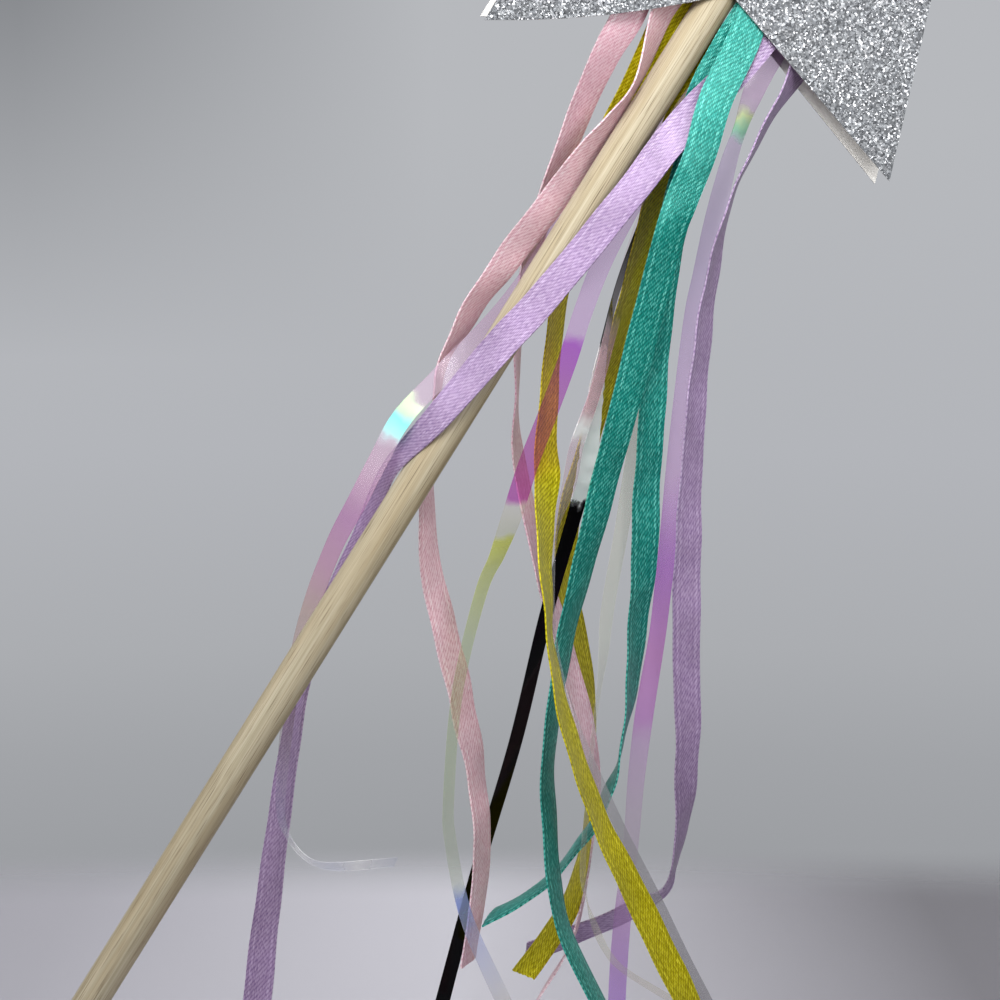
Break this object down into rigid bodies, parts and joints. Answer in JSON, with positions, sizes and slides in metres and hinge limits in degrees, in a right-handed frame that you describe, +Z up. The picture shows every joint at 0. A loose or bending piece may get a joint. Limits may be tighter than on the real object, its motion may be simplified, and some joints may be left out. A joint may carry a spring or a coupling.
{
  "type": "toy magic wand",
  "caption": "Wooden dowel wand with a glittered card star at its tip and satin ribbons, iridescent film strips and a mirror-foil strip hanging from the star.",
  "frame": {"origin": "centre of the dowel's butt end, where the wand is held", "axes": "+Z up, -Y towards the viewer of the front star, +X right; the dowel leans to +X in the XZ plane"},
  "size_m": [0.2253, 0.0433, 0.3232],
  "materials": {
    "bare_wood": "sanded, unvarnished",
    "white_card": "uncoated",
    "silver_glitter": "metallised polyester flakes in a clear binder",
    "hot_melt_glue": "set hot-melt",
    "pink_satin": "woven satin with selvedges",
    "yellow_satin": "woven satin with selvedges",
    "teal_satin": "woven satin with selvedges",
    "lilac_satin": "woven satin with selvedges",
    "iridescent_film": "clear film, colour changes with the angle",
    "mirror_foil": "metallised film"
  },
  "bodies": {
    "root": {"dowel": "bare_wood", "front_card": "white_card", "front_glitter": "silver_glitter", "back_card": "white_card", "back_glitter": "silver_glitter", "glue_left": "hot_melt_glue", "glue_right": "hot_melt_glue", "pink_ribbon_a": "pink_satin", "pink_ribbon_b": "pink_satin", "yellow_ribbon_a": "yellow_satin", "yellow_ribbon_b": "yellow_satin", "teal_ribbon_a": "teal_satin", "teal_ribbon_b": "teal_satin", "lilac_ribbon_a": "lilac_satin", "lilac_ribbon_b": "lilac_satin", "film_left": "iridescent_film", "film_violet": "iridescent_film", "film_rose": "iridescent_film", "film_right": "iridescent_film", "film_pale": "iridescent_film", "foil_strip": "mirror_foil"}
  },
  "joints": []
}
